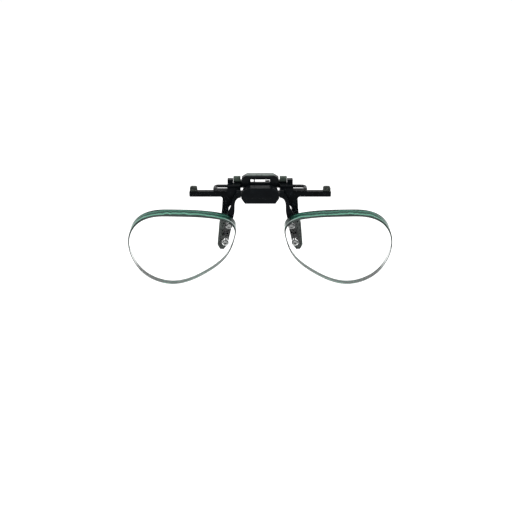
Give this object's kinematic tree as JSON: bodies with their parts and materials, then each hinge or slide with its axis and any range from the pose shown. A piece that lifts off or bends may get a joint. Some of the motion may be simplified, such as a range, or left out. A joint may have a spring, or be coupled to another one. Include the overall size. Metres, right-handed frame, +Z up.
{
  "type": "clip on flip lenses",
  "caption": "Clip-on flip-up lenses: clear rimless lenses on a flip hinge, carried by a sprung clip with rubber pads that grips spectacle lenses beside the bridge.",
  "frame": {"origin": "middle of the grip, halfway between the front and rear pads and between the left and right pads", "axes": "+X to the right of a person facing the lenses, +Y towards the wearer, +Z up; XZ is the plane of the gripped spectacle lens"},
  "size_m": [0.0936, 0.0187, 0.0408],
  "materials": {
    "black_metal": "satin",
    "stop_metal": "satin",
    "pad_rubber": "matt",
    "lens_clear": "polished clear",
    "black_wire": "satin",
    "bright_steel": "bright",
    "washer_nylon": "matt"
  },
  "bodies": {
    "clip": {"hood": "black_metal", "base_plate": "black_metal", "detent_spring": "black_wire", "block_rivets": "black_metal", "side_block_left": "black_metal", "side_block_right": "black_metal", "front_arm_left": "black_metal", "front_arm_right": "black_metal", "front_pad_left": "pad_rubber", "front_pad_right": "pad_rubber", "bar_stop_left": "stop_metal", "bar_stop_right": "stop_metal", "hinge_wire_left": "black_wire", "hinge_wire_right": "black_wire", "torsion_spring": "black_wire"},
    "rear_jaw": {"finger_plate": "black_metal", "rear_yoke": "black_metal", "rear_arm_left": "black_metal", "rear_arm_right": "black_metal", "rear_pad_left": "pad_rubber", "rear_pad_right": "pad_rubber"},
    "lens_carrier": {"flip_barrel": "black_wire", "flip_pin": "black_wire", "lens_arm_left": "black_metal", "lens_arm_right": "black_metal", "lens_left": "lens_clear", "lens_right": "lens_clear", "lens_screws": "bright_steel", "lens_nuts": "bright_steel", "lens_front_washers": "washer_nylon", "lens_rear_washers": "washer_nylon"}
  },
  "joints": [
    {"name": "jaw_open", "type": "hinge", "parent": "clip", "child": "rear_jaw", "pos_m": [0, 0.0006, 0.0167], "axis": [1, 0, 0], "range_deg": [0, 15], "stiffness_Nm_per_rad": 0.03, "springref_deg": -34.38},
    {"name": "lens_flip", "type": "hinge", "parent": "clip", "child": "lens_carrier", "pos_m": [0, -0.008, 0.0163], "axis": [-1, 0, 0], "range_deg": [0, 92]}
  ]
}
